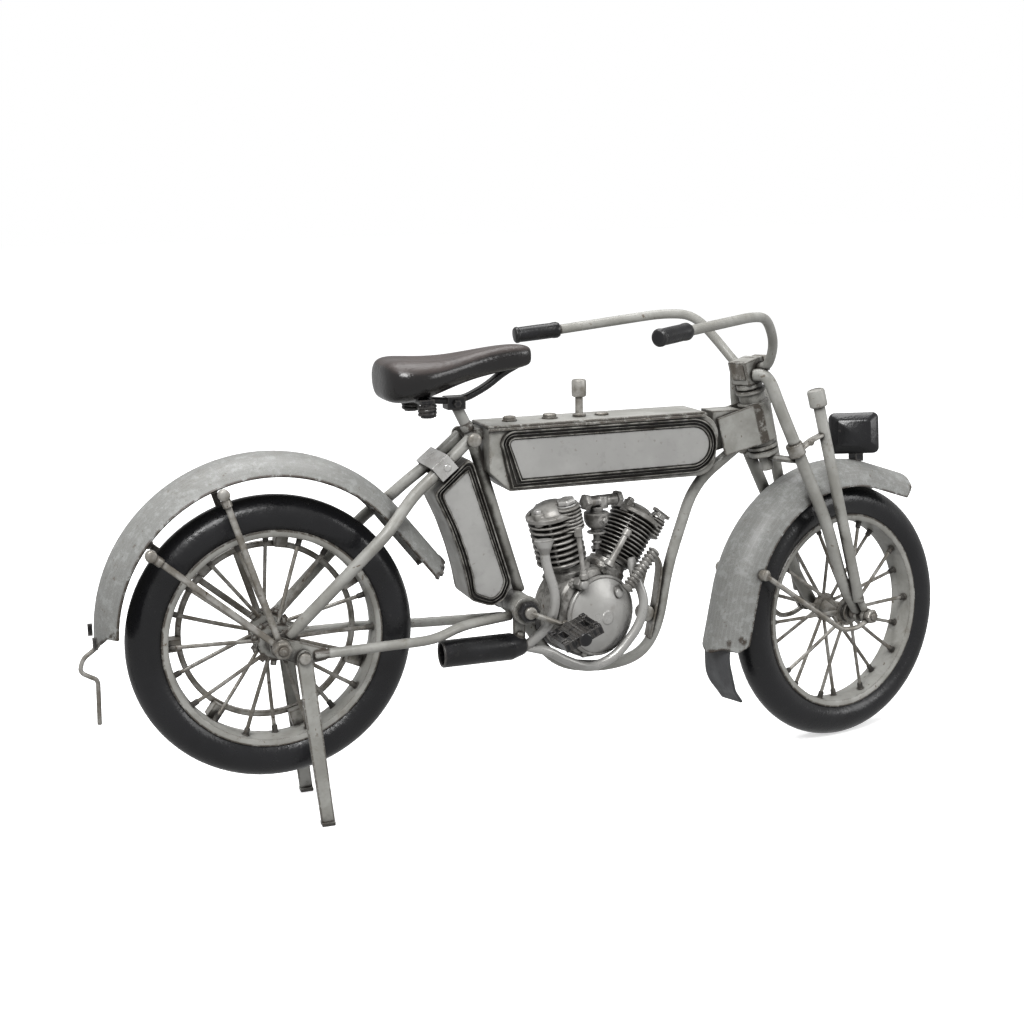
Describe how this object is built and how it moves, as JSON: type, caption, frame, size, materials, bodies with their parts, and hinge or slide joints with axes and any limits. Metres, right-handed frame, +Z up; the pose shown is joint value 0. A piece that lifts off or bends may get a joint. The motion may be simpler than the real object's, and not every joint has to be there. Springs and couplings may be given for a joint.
{
  "type": "display motorcycle",
  "caption": "Small sheet-metal and wire display motorcycle, an early V-twin with pedal crank, on its rear stand; bars steer, wheels, stand legs, crank and pedal turn.",
  "frame": {"origin": "on the ground plane, under the centre of the whole model", "axes": "+X towards the front wheel, +Y to the rider's left, +Z up"},
  "size_m": [0.3064, 0.0815, 0.1544],
  "materials": {
    "frame_paint": "satin warm grey paint, worn, with dark grime in the seams",
    "panel_paint": "smooth light grey paint on the raised panels",
    "bare_steel": "dull plated steel, a little tarnished",
    "aged_pewter": "pewter grey casting with dark grime between the fins",
    "black_rubber": "smooth satin black rubber",
    "black_moulding": "glossy near-black moulding or paint",
    "grey_rubber": "dark grey rubber"
  },
  "bodies": {
    "chassis": {"head_lug": "frame_paint", "top_tube": "frame_paint", "seat_tube": "frame_paint", "down_tube": "frame_paint", "chain_stays": "frame_paint", "seat_stays": "frame_paint", "stay_clamp": "bare_steel", "frame_bolts": "bare_steel", "bracket_sleeve": "frame_paint", "rear_axle": "bare_steel", "tank_shell": "frame_paint", "tank_lid": "panel_paint", "tank_panels": "panel_paint", "tank_fittings": "bare_steel", "oil_pump": "bare_steel", "toolbox_shell": "frame_paint", "toolbox_panels": "panel_paint", "rear_fender": "frame_paint", "rear_fender_stays": "frame_paint", "stand_clip": "bare_steel", "seat_post": "frame_paint", "saddle_frame": "black_moulding", "saddle_springs": "black_moulding", "saddle": "black_moulding", "crankcase": "aged_pewter", "engine_covers": "aged_pewter", "cylinder_rear": "aged_pewter", "cylinder_front": "aged_pewter", "cylinder_heads": "aged_pewter", "pushrods": "bare_steel", "spring_hose": "bare_steel", "intake_manifold": "aged_pewter", "carburettor": "aged_pewter", "exhaust_pipes": "aged_pewter", "muffler": "black_moulding", "engine_strap": "bare_steel"},
    "steering": {"fork_stem": "frame_paint", "fork_legs": "frame_paint", "spring_tubes": "frame_paint", "fork_clamps": "frame_paint", "front_axle": "bare_steel", "front_fender": "frame_paint", "mud_flap": "grey_rubber", "front_fender_stays": "bare_steel", "lamp": "black_moulding", "handlebar": "frame_paint", "grips": "black_moulding"},
    "front_wheel": {"front_tyre": "black_rubber", "front_rim": "frame_paint", "front_spokes": "bare_steel", "front_hub": "aged_pewter"},
    "rear_wheel": {"rear_tyre": "black_rubber", "rear_rim": "frame_paint", "rear_spokes": "bare_steel", "rear_hub": "aged_pewter", "belt_ring": "aged_pewter"},
    "stand_right": {"stand_leg_right": "frame_paint"},
    "stand_left": {"stand_leg_left": "frame_paint"},
    "crank": {"crank": "bare_steel"},
    "pedal": {"pedal": "black_moulding"}
  },
  "joints": [
    {"name": "steer", "type": "hinge", "parent": "chassis", "child": "steering", "pos_m": [0.0747, 0.0141, 0.1155], "axis": [-0.2419, 0, 0.9703], "range_deg": [-38.5, 11.5]},
    {"name": "front_wheel_spin", "type": "hinge", "parent": "steering", "child": "front_wheel", "pos_m": [0.10925, 0.01805, 0.04489], "axis": [-0.2265, 0.9724, -0.0565], "continuous": true},
    {"name": "rear_wheel_spin", "type": "hinge", "parent": "chassis", "child": "rear_wheel", "pos_m": [-0.0943, 0.0141, 0.0585], "axis": [0, 1, 0], "continuous": true},
    {"name": "stand_right_swing", "type": "hinge", "parent": "chassis", "child": "stand_right", "pos_m": [-0.0875, -0.002, 0.0549], "axis": [0, 1, 0], "range_deg": [0, 78]},
    {"name": "stand_left_swing", "type": "hinge", "parent": "chassis", "child": "stand_left", "pos_m": [-0.0875, 0.0302, 0.0549], "axis": [0, 1, 0], "range_deg": [0, 78]},
    {"name": "crank_turn", "type": "hinge", "parent": "chassis", "child": "crank", "pos_m": [-0.0138, 0.0141, 0.0612], "axis": [0, 1, 0], "continuous": true},
    {"name": "pedal_spin", "type": "hinge", "parent": "crank", "child": "pedal", "pos_m": [-0.0021, -0.0112, 0.0558], "axis": [0, 1, 0], "continuous": true}
  ]
}
